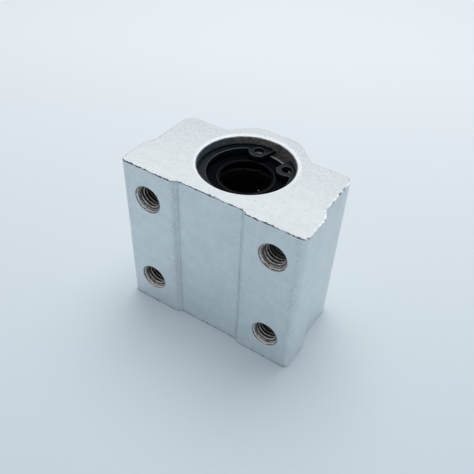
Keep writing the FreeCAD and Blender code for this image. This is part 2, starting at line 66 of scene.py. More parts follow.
# The camera: where it stands as seen from the middle of the part's foot, and its lens
VIEW_AZIMUTH = math.radians(30.1)
VIEW_ELEVATION = math.radians(45.5)
VIEW_ROLL = math.radians(3.65)
VIEW_DISTANCE = 0.13634
VIEW_ASIDE = 0.0009
VIEW_RAISE = 0.00186
LENS = 44.82
LENS_SHIFT_X = -0.0133
LENS_SHIFT_Y = 0.0968

# Block: its sawn edges are broken by a narrow bevel, cut into short steps so that it can be nicked.
# The edges on the +X side are rubbed further back, up to a height in Y.
BEVEL_WIDTH = 0.13 * MM
EDGE_STEP = 0.42 * MM
NICK_DEPTH = 0.22 * MM
NICK_RARITY = 3
BACK_NICKS = 0.45
SIDE_WEAR = 0.2 * MM
RUBBED_BELOW = 6.5 * MM

# How far from the shaft's axis the bore's finish reaches, and from a tapped hole's axis the hole's
BORE_REACH = 10.7 * MM
SINK_REACH = 3.2 * MM

# Circlips: width of their eased edges
RING_EDGE = 0.09 * MM

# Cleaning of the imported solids' triangles before they are worked on
SAME_POINT = 0.0005 * MM
FLAT_ANGLE = math.radians(0.3)

# Balls
BALL_RADIUS = 0.99 * MM
BALL_SUBDIVISIONS = 3
SAME_BALL_POINT = 0.001 * MM

# Threads of the four tapped holes. A ridge's foot is sunk into the wall, and the countersink's cone
# goes on cutting it back more steeply past its own depth. Flank and crest are shares of the pitch.
THREAD_ROOT_RADIUS = 2.5 * MM
THREAD_CREST_RADIUS = 2.12 * MM
THREAD_PITCH = 0.8 * MM
THREAD_LENGTH = 12.0 * MM
THREAD_STEPS_PER_TURN = 48
THREAD_START = math.radians(112)
THREAD_SUNK = 0.03 * MM
THREAD_RUN_OUT = 2.0
THREAD_FLANK = 0.36
THREAD_CREST = 0.12
SINK_RADIUS = 3.05 * MM
SINK_DEPTH = 0.85 * MM

# The places below are in millimetres from the part's middle, as the materials see them.
# First the tapped holes' pattern.
PATTERN = next(mount for mount in frame["record"]["mounts"] if mount["name"] == "tapped_holes")
HOLE_ACROSS = PATTERN["dims"]["spacing_x_mm"] / 2
HOLE_ALONG = PATTERN["dims"]["spacing_y_mm"] / 2

# The mounting face, the relief channel's foot and slope, and where the corners' rounding starts
FACE = low.y / MM
CHANNEL_FOOT = 7.0
CHANNEL_SLOPE = 7.7
ROUNDING_START = 18.7

# The upper circlip's upper face and its gap's turn from +Y towards +X, and the foot of the chamfer
# at the bore's mouth
RING_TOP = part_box("circlip_upper")[1].z / MM
RING_GAP_TURN = math.radians(17.1)
CHAMFER_FOOT = high.z / MM - 0.32

# The sleeve's end, the two broken edges on it where highlight lines are painted, and the raised
# ring round the seal's lip, where a highlight is painted
SLEEVE_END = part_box("bearing_sleeve")[1].z / MM
SLEEVE_INNER_EDGE = 8.67
SLEEVE_OUTER_EDGE = 8.98
LIP_RING = 5.6

# Floor: half its width in metres, then in millimetres where its colour starts and stops to change
# away from the camera, a painted shade that darkens the near floor, and where it starts and stops
# to pale into the backdrop all round
FLOOR_HALF_WIDTH = 3.0
FLOOR_NEAR_COLOUR = (0.56, 0.622, 0.67, 1.0)
FLOOR_FAR_COLOUR = (0.72, 0.744, 0.768, 1.0)
FLOOR_FIBRE_COLOUR = (0.5, 0.55, 0.6, 1.0)
FLOOR_CHANGE_START = -50.0
FLOOR_CHANGE_END = 130.0
FLOOR_HAZE_START = 260.0
FLOOR_HAZE_END = 900.0
FLOOR_HAZE = 0.34
BACKDROP_COLOUR = (0.74, 0.785, 0.815, 1.0)

# Light
SKY_COLOUR = (0.815, 0.895, 0.955, 1.0)
SKY_STRENGTH = 0.60
SOFTBOX_PLACE = (-0.05, 0.14, 0.42)
SOFTBOX_SIZE = 0.42
SOFTBOX_WATTS = 1.52
SOFTBOX_COLOUR = (1.0, 0.98, 0.96)


# Shader helpers

class Shader:
    """A node material, built from the principled shader outwards, with lengths in millimetres."""

    def __init__(self, name):
        self.material = bpy.data.materials.new(name)
        self.material.use_nodes = True
        self.tree = self.material.node_tree
        self.surface = self.tree.nodes["Principled BSDF"]
        scaled = self.add("ShaderNodeVectorMath", operation="SCALE")
        scaled.inputs["Scale"].default_value = 1 / MM
        self.link(self.add("ShaderNodeTexCoord").outputs["Object"], scaled.inputs[0])
        self.place = scaled.outputs[0]
        self.x, self.y, self.z = self.parts(self.place)

    def add(self, kind, **settings):
        node = self.tree.nodes.new(kind)
        for key, value in settings.items():
            setattr(node, key, value)
        return node

    def link(self, output, socket):
        self.tree.links.new(output, socket)

    def put(self, value, socket):
        """Sets a socket to a constant, or links it to another node's output."""
        if isinstance(value, bpy.types.NodeSocket):
            self.link(value, socket)
        else:
            socket.default_value = value

    def set(self, **values):
        """Sets the principled shader's own sockets, named in lower case with underscores."""
        sockets = {socket.name.lower().replace(" ", "_"): socket for socket in self.surface.inputs}
        for key, value in values.items():
            self.put(value, sockets[key])

    def bump(self, height, distance_mm):
        node = self.add("ShaderNodeBump")
        node.inputs["Strength"].default_value = 1.0
        node.inputs["Distance"].default_value = distance_mm * MM
        self.link(height, node.inputs["Height"])
        self.link(node.outputs["Normal"], self.surface.inputs["Normal"])

    def parts(self, vector):
        """A vector's X, Y and Z."""
        node = self.add("ShaderNodeSeparateXYZ")
        self.link(vector, node.inputs[0])
        return node.outputs

    def tilt(self):
        """1 where the surface faces along the shaft, and 0 where it faces across it."""
        normal = self.add("ShaderNodeNewGeometry").outputs["True Normal"]
        return self.unsigned(self.parts(normal)["Z"])

    def stretched(self, scale):
        """The place with each axis scaled by its own factor."""
        node = self.add("ShaderNodeVectorMath", operation="MULTIPLY")
        node.inputs[1].default_value = scale
        self.link(self.place, node.inputs[0])
        return node.outputs[0]

    def off_axis(self):
        """Distance from the shaft's axis."""
        node = self.add("ShaderNodeVectorMath", operation="LENGTH")
        self.link(self.stretched((1, 1, 0)), node.inputs[0])
        return node.outputs["Value"]

    def along(self, direction):
        """How far the place lies in a direction."""
        node = self.add("ShaderNodeVectorMath", operation="DOT_PRODUCT")
        node.inputs[1].default_value = direction
        self.link(self.place, node.inputs[0])
        return node.outputs["Value"]

    def noise(self, per_mm, detail=2.0, roughness=0.5, place=None):
        node = self.add("ShaderNodeTexNoise")
        node.inputs["Scale"].default_value = per_mm
        node.inputs["Detail"].default_value = detail
        node.inputs["Roughness"].default_value = roughness
        self.link(place or self.place, node.inputs["Vector"])
        return node.outputs["Fac"]

    def cells(self, per_mm):
        """Distance from the nearest of many scattered points, in cell widths."""
        node = self.add("ShaderNodeTexVoronoi")
        node.inputs["Scale"].default_value = per_mm
        self.link(self.place, node.inputs["Vector"])
        return node.outputs["Distance"]

    def maths(self, operation, first, second=0.0):
        node = self.add("ShaderNodeMath", operation=operation)
        self.put(first, node.inputs[0])
        self.put(second, node.inputs[1])
        return node.outputs[0]

    def plus(self, first, second):
        return self.maths("ADD", first, second)

    def minus(self, first, second):
        return self.maths("SUBTRACT", first, second)

    def times(self, first, second):
        return self.maths("MULTIPLY", first, second)

    def most(self, first, second):
        return self.maths("MAXIMUM", first, second)

    def least(self, first, second):
        return self.maths("MINIMUM", first, second)

    def unsigned(self, value):
        return self.maths("ABSOLUTE", value)

    def remap(self, value, low_in, high_in, low_out=0.0, high_out=1.0):
        node = self.add("ShaderNodeMapRange", clamp=True)
        node.inputs["From Min"].default_value = low_in
        node.inputs["From Max"].default_value = high_in
        node.inputs["To Min"].default_value = low_out
        node.inputs["To Max"].default_value = high_out
        self.put(value, node.inputs["Value"])
        return node.outputs["Result"]

    def below(self, value, full, none):
        """1 up to one value, and falling to 0 at a higher one."""
        return self.remap(value, full, none, 1.0, 0.0)

    def near(self, value, middle, full, none, peak=1.0):
        """A peak for values close to the middle, falling to 0 further out."""
        return self.remap(self.unsigned(self.minus(value, middle)), full, none, peak, 0.0)

    def blend(self, factor, first, second):
        node = self.add("ShaderNodeMix", data_type="RGBA")
        self.put(factor, node.inputs["Factor"])
        self.put(first, node.inputs[6])
        self.put(second, node.inputs[7])
        return node.outputs[2]


def grey(level):
    return (level, level, level, 1.0)


# Materials

def make_aluminium():
    """Blasted extrusion. Its sawn ends are paler, with a pale band round the bore that is part worn
    metal and part painted highlight, and painted shade darkening them behind the bore.
    """
    shader = Shader("blasted_aluminium")
    grain = shader.noise(7.0, detail=3.0, roughness=0.6)
    coarse = shader.noise(2.7, detail=3.0, roughness=0.7)
    mottle = shader.noise(0.45, detail=4.0, roughness=0.6)
    cloud = shader.remap(mottle, 0.3, 0.7)
    cut = shader.remap(shader.tilt(), 0.8, 0.86)
    behind = shader.minus(shader.y, shader.times(shader.x, 0.15))

    side_colour = shader.blend(cloud, (0.638, 0.708, 0.738, 1.0), (0.716, 0.781, 0.807, 1.0))
    end_colour = shader.blend(cloud, (0.60, 0.632, 0.65, 1.0), (0.668, 0.69, 0.703, 1.0))
    # Painted shade: the ends darken towards the back, where less light falls on them.
    painted_back_shade = shader.remap(behind, -9.0, 8.0, 0.0, 0.5)
    end_colour = shader.blend(painted_back_shade, end_colour, (0.505, 0.547, 0.572, 1.0))
    from_bore = shader.plus(shader.off_axis(), shader.times(mottle, 0.3))
    # A pale band round the bore, stronger towards the back: part worn metal, part painted
    # highlight.
    rubbed_and_highlight = shader.times(
        shader.below(from_bore, 10.2, 10.75), shader.remap(shader.y, -7.0, 5.0, 0.1, 0.8))
    end_colour = shader.blend(rubbed_and_highlight, end_colour, (0.80, 0.82, 0.835, 1.0))
    colour = shader.blend(cut, side_colour, end_colour)

    dense = shader.remap(behind, -8.0, 9.0, 0.22, 0.52)
    dense = shader.times(dense, shader.remap(cut, 0.0, 1.0, 0.45, 1.0))
    dense = shader.least(dense, shader.remap(cut, 0.0, 1.0, 0.14, 1.0))
    specks = shader.times(shader.remap(coarse, 0.50, 0.66), dense)
    colour = shader.blend(specks, colour, (0.30, 0.33, 0.355, 1.0))
    glints = shader.times(shader.remap(grain, 0.58, 0.70), 0.30)
    colour = shader.blend(glints, colour, (0.93, 0.94, 0.95, 1.0))
    few = shader.remap(shader.noise(0.3, detail=1.0), 0.46, 0.56)
    pits = shader.times(shader.below(shader.cells(0.9), 0.05, 0.12), few)
    colour = shader.blend(shader.times(pits, 0.5), colour, grey(0.13))
    scars_and_shade = shader.times(make_scars_and_shade(shader), shader.minus(1.0, cut))
    colour = shader.blend(shader.times(scars_and_shade, 0.5), colour, (0.22, 0.255, 0.275, 1.0))

    rough = shader.plus(shader.remap(grain, 0.3, 0.7, 0.34, 0.52), shader.times(cut, 0.3))
    shader.set(base_color=colour, metallic=shader.remap(cut, 0, 1, 0.75, 0.2), roughness=rough)
    shader.bump(shader.minus(grain, shader.times(shader.most(scars_and_shade, pits), 0.9)), 0.035)
    return shader.material


def make_scars_and_shade(shader):
    """Torn metal on the channel's slopes, with painted shade darkening the -X slope more and a
    painted shadow line along the channel's foot; specks where the corners round, scrapes at the
    holes.
    """
    across = shader.unsigned(shader.x)
    at_face = shader.below(shader.y, FACE + 0.2, FACE + 0.4)

    torn = shader.noise(2.6, detail=4.0, roughness=0.8)
    fade = shader.remap(shader.unsigned(shader.minus(across, CHANNEL_SLOPE)), 0.2, 2.2, 0.15, -0.05)
    flecks = shader.remap(shader.plus(torn, fade), 0.60, 0.70)
    on_slope = shader.near(across, CHANNEL_SLOPE, 1.6, 2.4)
    # Painted shade: the -X slope is darkened more than the +X slope, because of how light falls on
    # them.
    on_slope = shader.times(on_slope, shader.remap(shader.x, -0.5, 0.5, 0.75, 0.2))
    flecks = shader.times(flecks, on_slope)
    # Painted shadow: a wavering dark line along the channel's foot.
    wander = shader.times(shader.minus(shader.noise(1.1, detail=3.0, roughness=0.7), 0.5), 0.7)
    foot = shader.near(shader.plus(across, wander), CHANNEL_FOOT, 0.08, 0.26, peak=0.8)
    patchy = shader.remap(shader.noise(0.2, detail=2.0), 0.35, 0.65, 0.35, 1.0)
    patchy = shader.times(patchy, shader.below(shader.y, FACE + 0.8, FACE + 1.0))
    channel = shader.times(shader.most(flecks, foot), patchy)

    specks = shader.remap(shader.noise(2.0, detail=3.0, roughness=0.8), 0.57, 0.63)
    at_corner = shader.near(across, ROUNDING_START, 0.2, 0.8)
    specks = shader.times(specks, shader.times(at_corner, at_face))

    scraped = shader.remap(shader.noise(1.6, detail=4.0, roughness=0.8), 0.56, 0.66)
    round_holes = shader.remap(hole_reach(shader), 3.05, 3.75, 0.9, 0.0)
    scrapes = shader.times(shader.times(round_holes, scraped), at_face)
    return shader.most(shader.most(channel, specks), scrapes)


def hole_reach(shader):
    """Distance from the nearest tapped hole's axis."""
    across = shader.minus(shader.unsigned(shader.x), HOLE_ACROSS)
    along = shader.minus(shader.unsigned(shader.z), HOLE_ALONG)
    squares = shader.plus(shader.maths("POWER", across, 2.0), shader.maths("POWER", along, 2.0))
    return shader.maths("SQRT", squares)


def make_dark_edge():
    """The edges at the mounting face: dark in a broken line, most at the -X corner and less on the
    bevel's upper facet; along the foot this line is painted contact shadow.
    """
    shader = Shader("bruised_edge")
    darkening = shader.noise(0.8, detail=4.0, roughness=0.75)
    corner = shader.remap(shader.x, -19.5, -15.5, 0.2, 0.0)
    upper = shader.remap(shader.tilt(), 0.55, 0.75, 0.0, 0.1)
    # Along the foot this dark line stands in for the contact shadow: a painted shadow.
    dark_share = shader.remap(shader.minus(shader.plus(darkening, corner), upper), 0.36, 0.48)
    colour = shader.blend(dark_share, (0.60, 0.64, 0.67, 1.0), (0.03, 0.04, 0.05, 1.0))
    rough = shader.remap(darkening, 0.3, 0.7, 0.7, 0.85)
    shader.set(base_color=colour, metallic=0.1, roughness=rough, specular_ior_level=0.2)
    shader.bump(shader.noise(5.0, detail=3.0), 0.02)
    return shader.material


def make_bright_edge():
    """The side edges: worn to bare metal, with dark nicks."""
    shader = Shader("rubbed_edge")
    wear = shader.noise(1.3, detail=4.0, roughness=0.75)
    chips = shader.remap(shader.noise(0.7, detail=3.0, roughness=0.7), 0.575, 0.62)
    colour = shader.blend(
        shader.remap(wear, 0.40, 0.56), (0.80, 0.82, 0.83, 1.0), (0.58, 0.61, 0.63, 1.0))
    colour = shader.blend(chips, colour, (0.16, 0.17, 0.18, 1.0))
    shader.set(base_color=colour, metallic=0.2, roughness=shader.remap(wear, 0.3, 0.7, 0.5, 0.65))
    shader.bump(shader.noise(5.0, detail=3.0), 0.02)
    return shader.material


def make_grey_edge():
    """The edges at the shoulders and the hump: a matt grey line, darker towards the +X corner."""
    shader = Shader("dull_edge")
    wear = shader.noise(1.2, detail=4.0, roughness=0.7)
    corner = shader.remap(shader.x, 15.5, 17.0, 0.0, 0.7)
    colour = shader.blend(
        shader.remap(wear, 0.35, 0.65), (0.24, 0.27, 0.29, 1.0), (0.56, 0.60, 0.62, 1.0))
    colour = shader.blend(corner, colour, (0.10, 0.115, 0.13, 1.0))
    rough = shader.remap(wear, 0.3, 0.7, 0.7, 0.8)
    shader.set(base_color=colour, metallic=0.1, roughness=rough, specular_ior_level=0.2)
    shader.bump(shader.noise(5.0, detail=3.0), 0.02)
    return shader.material


def make_ring_edge():
    """The eased edges of a circlip, painted lighter than its faces as a painted edge highlight."""
    shader = Shader("thin_coated_edge")
    wear = shader.noise(1.5, detail=3.0, roughness=0.7)
    # Painted highlight: the edge colour is lighter than the ring's faces.
    colour = shader.blend(
        shader.remap(wear, 0.35, 0.65), (0.03, 0.036, 0.042, 1.0), (0.085, 0.095, 0.105, 1.0))
    shader.set(base_color=colour, metallic=0.4, roughness=shader.remap(wear, 0.3, 0.7, 0.4, 0.55))
    shader.bump(wear, 0.01)
    return shader.material


def make_bored_metal():
    """The turned wall of the bore: painted dark as shade, with oily stains and swarf, and a painted
    black shadow round the circlip but for its gap. The chamfer at its mouth is clean down to its
    foot."""
    shader = Shader("oiled_bore")
    rings = shader.noise(1.0, detail=3.0, place=shader.stretched((0.5, 0.5, 9.0)))
    stain = shader.noise(0.35, detail=4.0, roughness=0.75)
    swarf = shader.remap(shader.noise(2.2, detail=4.0, roughness=0.85), 0.44, 0.62)
    height = shader.unsigned(shader.z)
    off_axis = shader.off_axis()

    oily = shader.times(shader.remap(stain, 0.38, 0.6), shader.remap(shader.y, 4.0, 9.0))
    # Painted shade: the wall's base colour is darkened for the shade inside the bore; the brown
    # patches are oil stains.
    colour = shader.blend(oily, (0.11, 0.135, 0.16, 1.0), (0.25, 0.21, 0.18, 1.0))
    colour = shader.blend(shader.times(swarf, 0.85), colour, (0.03, 0.032, 0.035, 1.0))

    # Painted shadow: a black band round the circlip, under the groove's upper wall, left out in the
    # circlip's gap.
    in_gap = shader.along((math.sin(RING_GAP_TURN), math.cos(RING_GAP_TURN), 0))
    past_gap = shader.below(shader.maths("DIVIDE", in_gap, off_axis), 0.955, 0.975)
    darkening = shader.plus(height, shader.times(stain, 0.1))
    painted_groove_shadow = shader.times(past_gap, shader.below(darkening, RING_TOP + 0.28, RING_TOP + 0.42))
    colour = shader.blend(painted_groove_shadow, colour, (0.002, 0.002, 0.003, 1.0))

    clean = shader.remap(shader.plus(off_axis, shader.times(stain, 0.16)), 9.72, 9.84)
    clean = shader.times(clean, shader.remap(height, CHAMFER_FOOT - 0.1, CHAMFER_FOOT))
    colour = shader.blend(clean, colour, (0.80, 0.82, 0.835, 1.0))

    rough = shader.remap(rings, 0.3, 0.7, 0.5, 0.65)
    shader.set(base_color=colour, metallic=0.15, roughness=rough, specular_ior_level=0.3)
    shader.bump(shader.plus(rings, swarf), 0.015)
    return shader.material


def make_swarfy_sink():
    """The countersinks: cut pale and torn in rings, with grime in the tears and at the rim."""
    shader = Shader("torn_countersink")
    torn = shader.noise(1.0, detail=4.0, roughness=0.75)
    reach = shader.plus(hole_reach(shader), shader.times(torn, 0.55))
    bands = shader.maths("SINE", shader.times(reach, 22.0))
    darkening = shader.plus(shader.times(bands, 0.2), torn)
    tint = shader.remap(shader.noise(0.5, detail=3.0), 0.42, 0.58)
    colour = shader.blend(tint, (0.62, 0.54, 0.50, 1.0), (0.70, 0.77, 0.80, 1.0))
    colour = shader.blend(shader.remap(darkening, 0.50, 0.66), colour, (0.12, 0.11, 0.105, 1.0))
    shader.set(base_color=colour, metallic=0.35, roughness=shader.remap(torn, 0.3, 0.7, 0.45, 0.65))
    shader.bump(darkening, 0.06)
    return shader.material


def make_thread_metal():
    """Threads: pale along the crests and dark with old oil in the grooves, and painted darker down
    the hole as painted shade.
    """
    shader = Shader("oiled_cut_thread")
    smear = shader.noise(1.2, detail=4.0, roughness=0.75)
    crest = shader.below(hole_reach(shader), 2.15, 2.30)
    metal = shader.blend(
        shader.remap(smear, 0.38, 0.62), (0.36, 0.28, 0.235, 1.0), (0.90, 0.92, 0.94, 1.0))
    oil = shader.blend(smear, (0.02, 0.018, 0.017, 1.0), (0.12, 0.10, 0.088, 1.0))
    # Painted shade: the hole darkens with depth from the mounting face, less again near its far
    # end.
    painted_depth_shade = shader.least(
        shader.remap(shader.y, FACE + 1.3, FACE + 3.3, 0.0, 0.92),
        shader.remap(shader.y, FACE + 15.0, FACE + 19.5, 0.9, 0.35))
    colour = shader.blend(painted_depth_shade, shader.blend(crest, oil, metal), (0.012, 0.012, 0.014, 1.0))
    shader.set(base_color=colour, metallic=0.5, roughness=shader.remap(smear, 0.3, 0.7, 0.28, 0.42))
    shader.bump(shader.noise(9.0, detail=2.0), 0.008)
    return shader.material


def make_bearing_steel():
    """Ground steel. Its end is painted near black as shade, with two painted highlight lines at its
    broken edges.
    """
    shader = Shader("ground_bearing_steel")
    rings = shader.noise(1.0, detail=3.0, place=shader.stretched((0.4, 0.4, 14.0)))
    off_axis = shader.off_axis()
    # Painted highlights: two pale lines at the edges of the sleeve's end.
    painted_edge_highlights = shader.most(
        shader.near(off_axis, SLEEVE_INNER_EDGE, 0.08, 0.13),
        shader.times(shader.near(off_axis, SLEEVE_OUTER_EDGE, 0.05, 0.10), 0.6))
    # Painted shade: the sleeve's end is made near black between the lines.
    at_end = shader.remap(shader.unsigned(shader.z), SLEEVE_END - 0.9, SLEEVE_END - 0.8)
    colour = shader.blend(rings, grey(0.42), grey(0.58))
    colour = shader.blend(at_end, colour, shader.blend(painted_edge_highlights, grey(0.01), grey(0.42)))
    rough = shader.plus(shader.remap(rings, 0.3, 0.7, 0.22, 0.36), shader.times(at_end, 0.25))
    shader.set(base_color=colour, metallic=shader.remap(at_end, 0, 1, 1.0, 0.35), roughness=rough)
    shader.bump(rings, 0.004)
    return shader.material


def make_circlip_steel():
    shader = Shader("phosphated_spring_steel")
    cloud = shader.noise(0.9, detail=4.0)
    colour = shader.blend(cloud, (0.0025, 0.005, 0.0075, 1.0), (0.0075, 0.012, 0.016, 1.0))
    rough = shader.remap(cloud, 0.3, 0.7, 0.38, 0.55)
    shader.set(base_color=colour, metallic=0.15, roughness=rough, specular_ior_level=0.13)
    shader.bump(shader.noise(9.0, detail=2.0), 0.01)
    return shader.material


def make_seal_rubber():
    """Black rubber, with a painted highlight on the raised ring round the lip."""
    shader = Shader("black_nitrile_rubber")
    cloud = shader.noise(1.3, detail=3.0)
    # Painted highlight: a thin pale line on the raised ring round the lip.
    lip_highlight = shader.times(shader.near(shader.off_axis(), LIP_RING, 0.06, 0.13), 0.7)
    colour = shader.blend(cloud, (0.0003, 0.0006, 0.0018, 1.0), (0.0009, 0.0013, 0.003, 1.0))
    colour = shader.blend(lip_highlight, colour, (0.035, 0.035, 0.04, 1.0))
    rough = shader.remap(cloud, 0.3, 0.7, 0.4, 0.52)
    shader.set(base_color=colour, roughness=rough, specular_ior_level=0.015)
    shader.bump(shader.noise(12.0, detail=2.0), 0.006)
    return shader.material


def make_cage_plastic():
    shader = Shader("black_cage_plastic")
    grain = shader.noise(6.0, detail=3.0)
    colour = shader.blend(grain, (0.001, 0.001, 0.0015, 1.0), (0.003, 0.003, 0.004, 1.0))
    rough = shader.remap(grain, 0.3, 0.7, 0.4, 0.55)
    shader.set(base_color=colour, roughness=rough, specular_ior_level=0.05)
    shader.bump(grain, 0.01)
    return shader.material


def make_ball_steel():
    shader = Shader("polished_ball_steel")
    haze = shader.noise(2.5, detail=2.0)
    colour = shader.blend(haze, grey(0.66), grey(0.74))
    shader.set(base_color=colour, metallic=1.0, roughness=shader.remap(haze, 0.3, 0.7, 0.06, 0.12))
    return shader.material


def make_ring_steel():
    shader = Shader("stamped_ring_steel")
    grain = shader.noise(5.0, detail=3.0)
    colour = shader.blend(grain, grey(0.20), grey(0.30))
    shader.set(base_color=colour, metallic=1.0, roughness=shader.remap(grain, 0.3, 0.7, 0.35, 0.5))
    shader.bump(grain, 0.008)
    return shader.material


def backdrop_rays(tree):
    """1 for the rays that show the pale backdrop, to the eye or in metal, and 0 for its light."""
    ray = tree.nodes.new("ShaderNodeLightPath")
    seen = ray.outputs["Is Camera Ray"]
    for kind in ("Is Glossy Ray", "Is Transmission Ray"):
        either = tree.nodes.new("ShaderNodeMath")
        either.operation = "MAXIMUM"
        tree.links.new(seen, either.inputs[0])
        tree.links.new(ray.outputs[kind], either.inputs[1])
        seen = either.outputs[0]
    return seen


def make_floor_paper():
    """Pale paper, painted darker towards the camera's side as painted shade and paler away from it,
    and paling into the backdrop all round.
    """
    shader = Shader("pale_backdrop_paper")
    fibre = shader.times(shader.noise(0.5, detail=3.0), 0.04)
    away = shader.along((-math.sin(VIEW_AZIMUTH), math.cos(VIEW_AZIMUTH), 0))
    away = shader.remap(away, FLOOR_CHANGE_START, FLOOR_CHANGE_END)
    # Painted shade: the floor is coloured darker on the camera's side, where less light falls.
    colour = shader.blend(away, FLOOR_NEAR_COLOUR, FLOOR_FAR_COLOUR)
    colour = shader.blend(fibre, colour, FLOOR_FIBRE_COLOUR)
    haze = shader.remap(shader.off_axis(), FLOOR_HAZE_START, FLOOR_HAZE_END, 0.0, FLOOR_HAZE)
    haze = shader.times(haze, backdrop_rays(shader.tree))
    shader.set(
        base_color=colour, roughness=0.85,
        emission_color=BACKDROP_COLOUR, emission_strength=haze)
    return shader.material


def dress_nodes():
    """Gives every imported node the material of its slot, and returns the materials by slot."""
    materials = {
        "block_aluminium": make_aluminium(),
        "bearing_steel": make_bearing_steel(),
        "cage_plastic": make_cage_plastic(),
        "ball_steel": make_ball_steel(),
        "seal_rubber": make_seal_rubber(),
        "circlip_steel": make_circlip_steel(),
        "ring_steel": make_ring_steel(),
    }
    for part in frame["record"]["subparts"]:
        for place in frame["nodes"][part["node"]].material_slots:
            place.material = materials[part["material_slot"]]
    return materials


# Pieces

def add_piece(name, mesh, materials):
    """A new piece that rides on the part, with the given materials."""
    piece = bpy.data.objects.new(name, mesh)
    bpy.context.scene.collection.objects.link(piece)
    for material in materials:
        mesh.materials.append(material)
    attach(piece, "root")
    return piece


def new_mesh(name, work):
    """Turns a finished bmesh into a mesh."""
    mesh = bpy.data.meshes.new(name)
    work.to_mesh(mesh)
    work.free()
    mesh.shade_smooth()
    return mesh


def copy_solid(name):
    """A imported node's solid, with its flat faces made whole again."""
    work = bmesh.new()
    work.from_mesh(frame["nodes"][name].data)
    bmesh.ops.remove_doubles(work, verts=work.verts, dist=SAME_POINT)
    bmesh.ops.dissolve_limit(work, angle_limit=FLAT_ANGLE, verts=work.verts, edges=work.edges)
    return work


# Block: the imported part's solid, with worn edges where it was sawn off

def from_shaft(point):
    return math.hypot(point.x, point.y)


def hole_mouths():
    """The middles of the four tapped holes, at the mounting face."""
    across = HOLE_ACROSS * MM
    along = HOLE_ALONG * MM
    return [Vector((side * across, low.y, end * along)) for end in (1, -1) for side in (-1, 1)]


def is_sawn_edge(edge):
    """True for an edge between an end face and the outside of the extrusion."""
    if len(edge.link_faces) != 2:
        return False
    if any(abs(abs(vert.co.z) - high.z) > 0.002 * MM for vert in edge.verts):
        return False
    if any(from_shaft(vert.co) < BORE_REACH for vert in edge.verts):
        return False
    tilts = sorted(abs(face.normal.z) for face in edge.link_faces)
    return tilts[0] < 0.1 and tilts[1] > 0.9


def break_edges(work):
    """Bevels the sawn edges in short steps, so that they can be nicked. Returns the new faces."""
    for edge in [edge for edge in work.edges if is_sawn_edge(edge)]:
        cuts = int(edge.calc_length() / EDGE_STEP)
        if cuts:
            bmesh.ops.bisect_edges(work, edges=[edge], cuts=cuts)
    sawn = [edge for edge in work.edges if is_sawn_edge(edge)]
    return bmesh.ops.bevel(
        work, geom=sawn, offset=BEVEL_WIDTH, offset_type="OFFSET", segments=2, profile=0.5,
        affect="EDGES")["faces"]


def nick_edges(faces):
    """Frays both sides of the bevel, within the flat faces beside it."""
    outward = {}
    for face in faces:
        flat = Vector((face.normal.x, face.normal.y, 0))
        for vert in face.verts:
            outward[vert] = outward.get(vert, Vector()) + flat
    for vert in sorted(outward, key=lambda vert: vert.index):
        away = outward[vert].normalized()
        depth = NICK_DEPTH * random.random() ** NICK_RARITY
        if vert.co.y >= 0:
            depth *= BACK_NICKS
        if away.x > 0.7 and vert.co.y < RUBBED_BELOW:
            depth += SIDE_WEAR * random.uniform(0.4, 1.0)
        drop = high.z - abs(vert.co.z)
        if drop < 0.2 * BEVEL_WIDTH:
            vert.co -= away * depth
        elif drop > 0.8 * BEVEL_WIDTH:
            vert.co.z -= math.copysign(depth, vert.co.z)


def finish_of(face, worn, mouths):
    """Which of the block's finishes a face has."""
    middle = face.calc_center_median()
    if face in worn:
        if Vector((face.normal.x, face.normal.y)).normalized().y < -0.8:
            return "dark_edge"
        return "bright_edge" if middle.x > 0 and middle.y < RUBBED_BELOW else "grey_edge"
    at_end = abs(face.normal.z) > 0.95 and high.z - abs(middle.z) < 0.1 * MM
    if from_shaft(middle) < BORE_REACH and not at_end:
        return "bore"
    for mouth in mouths:
        if math.hypot(middle.x - mouth.x, middle.z - mouth.z) < SINK_REACH:
            return "sink" if 0.3 < abs(face.normal.y) < 0.9 else "thread"
    return "block"


def wear_block(finishes):
    work = copy_solid("housing_block")
    worn = break_edges(work)
    work.verts.index_update()
    work.normal_update()
    nick_edges(worn)
    work.normal_update()
    worn = set(worn)
    names = list(finishes)
    mouths = hole_mouths()
    for face in work.faces:
        face.material_index = names.index(finish_of(face, worn, mouths))
    mesh = new_mesh("worn_block", work)
    mesh.set_sharp_from_angle(angle=math.radians(18))
    block = add_piece("worn_block", mesh, finishes.values())
    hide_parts("housing_block")


# Circlips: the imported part's solids, with their edges eased

def ease_circlip(end, face_finish, edge_finish):
    work = copy_solid(f"circlip_{end}")
    rims = [
        edge for edge in work.edges
        if len(edge.link_faces) == 2 and edge.calc_face_angle() > math.radians(60)
        and any(abs(face.normal.z) > 0.9 for face in edge.link_faces)
    ]
    eased = bmesh.ops.bevel(
        work, geom=rims, offset=RING_EDGE, offset_type="OFFSET", segments=1,
        affect="EDGES")["faces"]
    for face in work.faces:
        face.material_index = 0
    for face in eased:
        face.material_index = 1
    mesh = new_mesh(f"eased_circlip_{end}", work)
    mesh.set_sharp_from_angle(angle=math.radians(25))
    ring = add_piece(f"eased_circlip_{end}", mesh, (face_finish, edge_finish))
    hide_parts(f"circlip_{end}")


# Balls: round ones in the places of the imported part's faceted ones

def ball_centres(mesh):
    """The middle of each separate ball of a mesh."""
    work = bmesh.new()
    work.from_mesh(mesh)
    bmesh.ops.remove_doubles(work, verts=work.verts, dist=SAME_BALL_POINT)
    waiting = set(work.verts)
    centres = []
    while waiting:
        found = [waiting.pop()]
        for vert in found:
            for edge in vert.link_edges:
                other = edge.other_vert(vert)
                if other in waiting:
                    waiting.remove(other)
                    found.append(other)
        centres.append(sum((vert.co for vert in found), Vector()) / len(found))
    work.free()
    return centres


